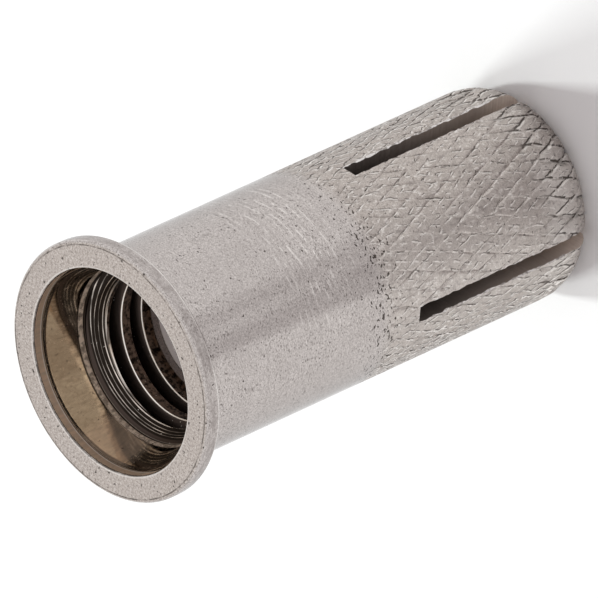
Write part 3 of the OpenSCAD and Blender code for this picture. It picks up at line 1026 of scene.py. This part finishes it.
def make_plain(holder, tree, values):
    """Runs a tree on an object with these inputs and keeps the result as a plain mesh."""
    modifier = holder.modifiers.new("made_by_nodes", "NODES")
    modifier.node_group = tree
    for item in tree.interface.items_tree:
        if item.in_out == "INPUT" and item.name in values:
            modifier[item.identifier] = values[item.name]
    holder.update_tag()
    ready = holder.evaluated_get(bpy.context.evaluated_depsgraph_get())
    mesh = bpy.data.meshes.new_from_object(ready)
    holder.modifiers.remove(modifier)
    outline_mesh = holder.data
    holder.data = mesh
    bpy.data.meshes.remove(outline_mesh)
    numbers = [face.material_index for face in mesh.polygons]
    finishes = list(mesh.materials)
    used = [k for k in sorted(set(numbers)) if finishes[k]]
    mesh.materials.clear()
    for k in used:
        mesh.materials.append(finishes[k])
    mesh.polygons.foreach_set("material_index", [used.index(k) for k in numbers])
    mesh.shade_smooth()
    mesh.set_sharp_from_angle(angle=SHARP_ANGLE)
    return mesh


print("edges are sharp from", round(math.degrees(SHARP_ANGLE)), "degrees")

# %% Make the sleeve
mesh = make_plain(sleeve, sleeve_tree, SLEEVE_SIZES)
mesh.calc_loop_triangles()
print("sleeve triangles:", len(mesh.loop_triangles), "finishes:", [m.name for m in mesh.materials])
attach(sleeve, "root")
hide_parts("anchor_sleeve")

# %% [markdown]
# ## The expander plug
# The plug is a plain hardened pin, so its CAD solid already has the right shape and stays. It only needs
# a finish: dull grey steel that is hardly a mirror, so its head still shows pale deep down in the bore.

# %% The expander plug
STEEL_DARK = (0.84, 0.78, 0.755)
STEEL_LIGHT = (0.97, 0.92, 0.90)
STEEL_SPOT = (0.45, 0.41, 0.39)
plug_finish, tree, shader, place = start_finish("plug_steel_turned")
from_axis, up, _ = lathe_place(tree, place)
turned_rings = grain(tree, vector(tree, X=from_axis, Y=up), 4.0, 3.0, 0.7)
base = tint(tree, ramp(tree, turned_rings, 0.3, 0.7), STEEL_DARK, STEEL_LIGHT)
base = coat(tree, base, STEEL_SPOT, ramp(tree, grain(tree, place, 5.0), 0.62, 0.70, 0.0, 0.25))
tree.links.new(base, shader.inputs["Base Color"])
shader.inputs["Metallic"].default_value = 0.1
shader.inputs["Roughness"].default_value = 0.65
dent(tree, shader, turned_rings, 0.01)
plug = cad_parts["expander_plug"]
plug.data.materials.clear()
plug.data.materials.append(plug_finish)
print("plug faces:", len(plug.data.polygons))

# %% [markdown]
# ## Floor and light
# A studio table is pale and lit softly from all round. The world is the soft light. Two lamps from behind
# lay their shadows towards the camera, and the sleeve's front reflects them as one darker band. The soft
# light is a little warm and the lamps a little cool, so the lit table is neutral and the band is warm.

# %% Floor
FLOOR_HALF = 3.0
FLOOR_TONE = (0.92, 0.92, 0.92, 1.0)
floor_mesh = bpy.data.meshes.new("floor")
corners = [(FLOOR_HALF * x, FLOOR_HALF * y, 0) for x, y in ((-1, -1), (1, -1), (1, 1), (-1, 1))]
floor_mesh.from_pydata(corners, [], [(0, 1, 2, 3)])
floor = bpy.data.objects.new("floor", floor_mesh)
bpy.context.scene.collection.objects.link(floor)
floor_finish = bpy.data.materials.new("pale_table")
floor_finish.use_nodes = True
floor_shader = floor_finish.node_tree.nodes["Principled BSDF"]
floor_shader.inputs["Base Color"].default_value = FLOOR_TONE
floor_shader.inputs["Roughness"].default_value = 1.0
floor_shader.inputs["Specular IOR Level"].default_value = 0.0
floor_mesh.materials.append(floor_finish)
print("floor side in metres:", 2 * FLOOR_HALF)

# %% Soft light
SOFT_LEVEL = 0.59
SOFT_TONE = (1.0, 0.945, 0.955)
WHITE = (1.0, 1.0, 1.0)
world = bpy.data.worlds.new("studio")
bpy.context.scene.world = world
world.use_nodes = True
tree = world.node_tree
background = tree.nodes["Background"]
ray = put(tree, "ShaderNodeLightPath").outputs
seen = calc(tree, "MAXIMUM", ray["Is Glossy Ray"], ray["Is Transmission Ray"])
seen = calc(tree, "MAXIMUM", ray["Is Camera Ray"], seen)
tree.links.new(mix(tree, seen, SOFT_LEVEL, 1.0), background.inputs["Strength"])
tree.links.new(tint(tree, seen, SOFT_TONE, WHITE), background.inputs["Color"])
print("soft light level:", SOFT_LEVEL)

# %% Lamps from behind
# Each lamp has its azimuth in degrees, its watts and its side in metres
KEYS = {"back_key_left": (112, 6.5, 0.10), "back_key_right": (137, 5.8, 0.24)}
KEY_TONE = (0.947, 1.0, 0.99)
KEY_RISE = 0.56
for name, (azimuth, watts, side) in KEYS.items():
    key_data = bpy.data.lights.new(name, "AREA")
    key_data.shape = "SQUARE"
    key_data.size = side
    key_data.energy = watts
    key_data.color = KEY_TONE
    key = bpy.data.objects.new(name, key_data)
    bearing = math.radians(azimuth)
    direction = Vector((math.cos(bearing), math.sin(bearing), KEY_RISE)).normalized()
    key.location = direction
    key.rotation_mode = "QUATERNION"
    key.rotation_quaternion = direction.to_track_quat("Z", "Y")
    key.visible_glossy = False
    bpy.context.scene.collection.objects.link(key)
    print(name, "at azimuth", azimuth, "with", watts, "watts")
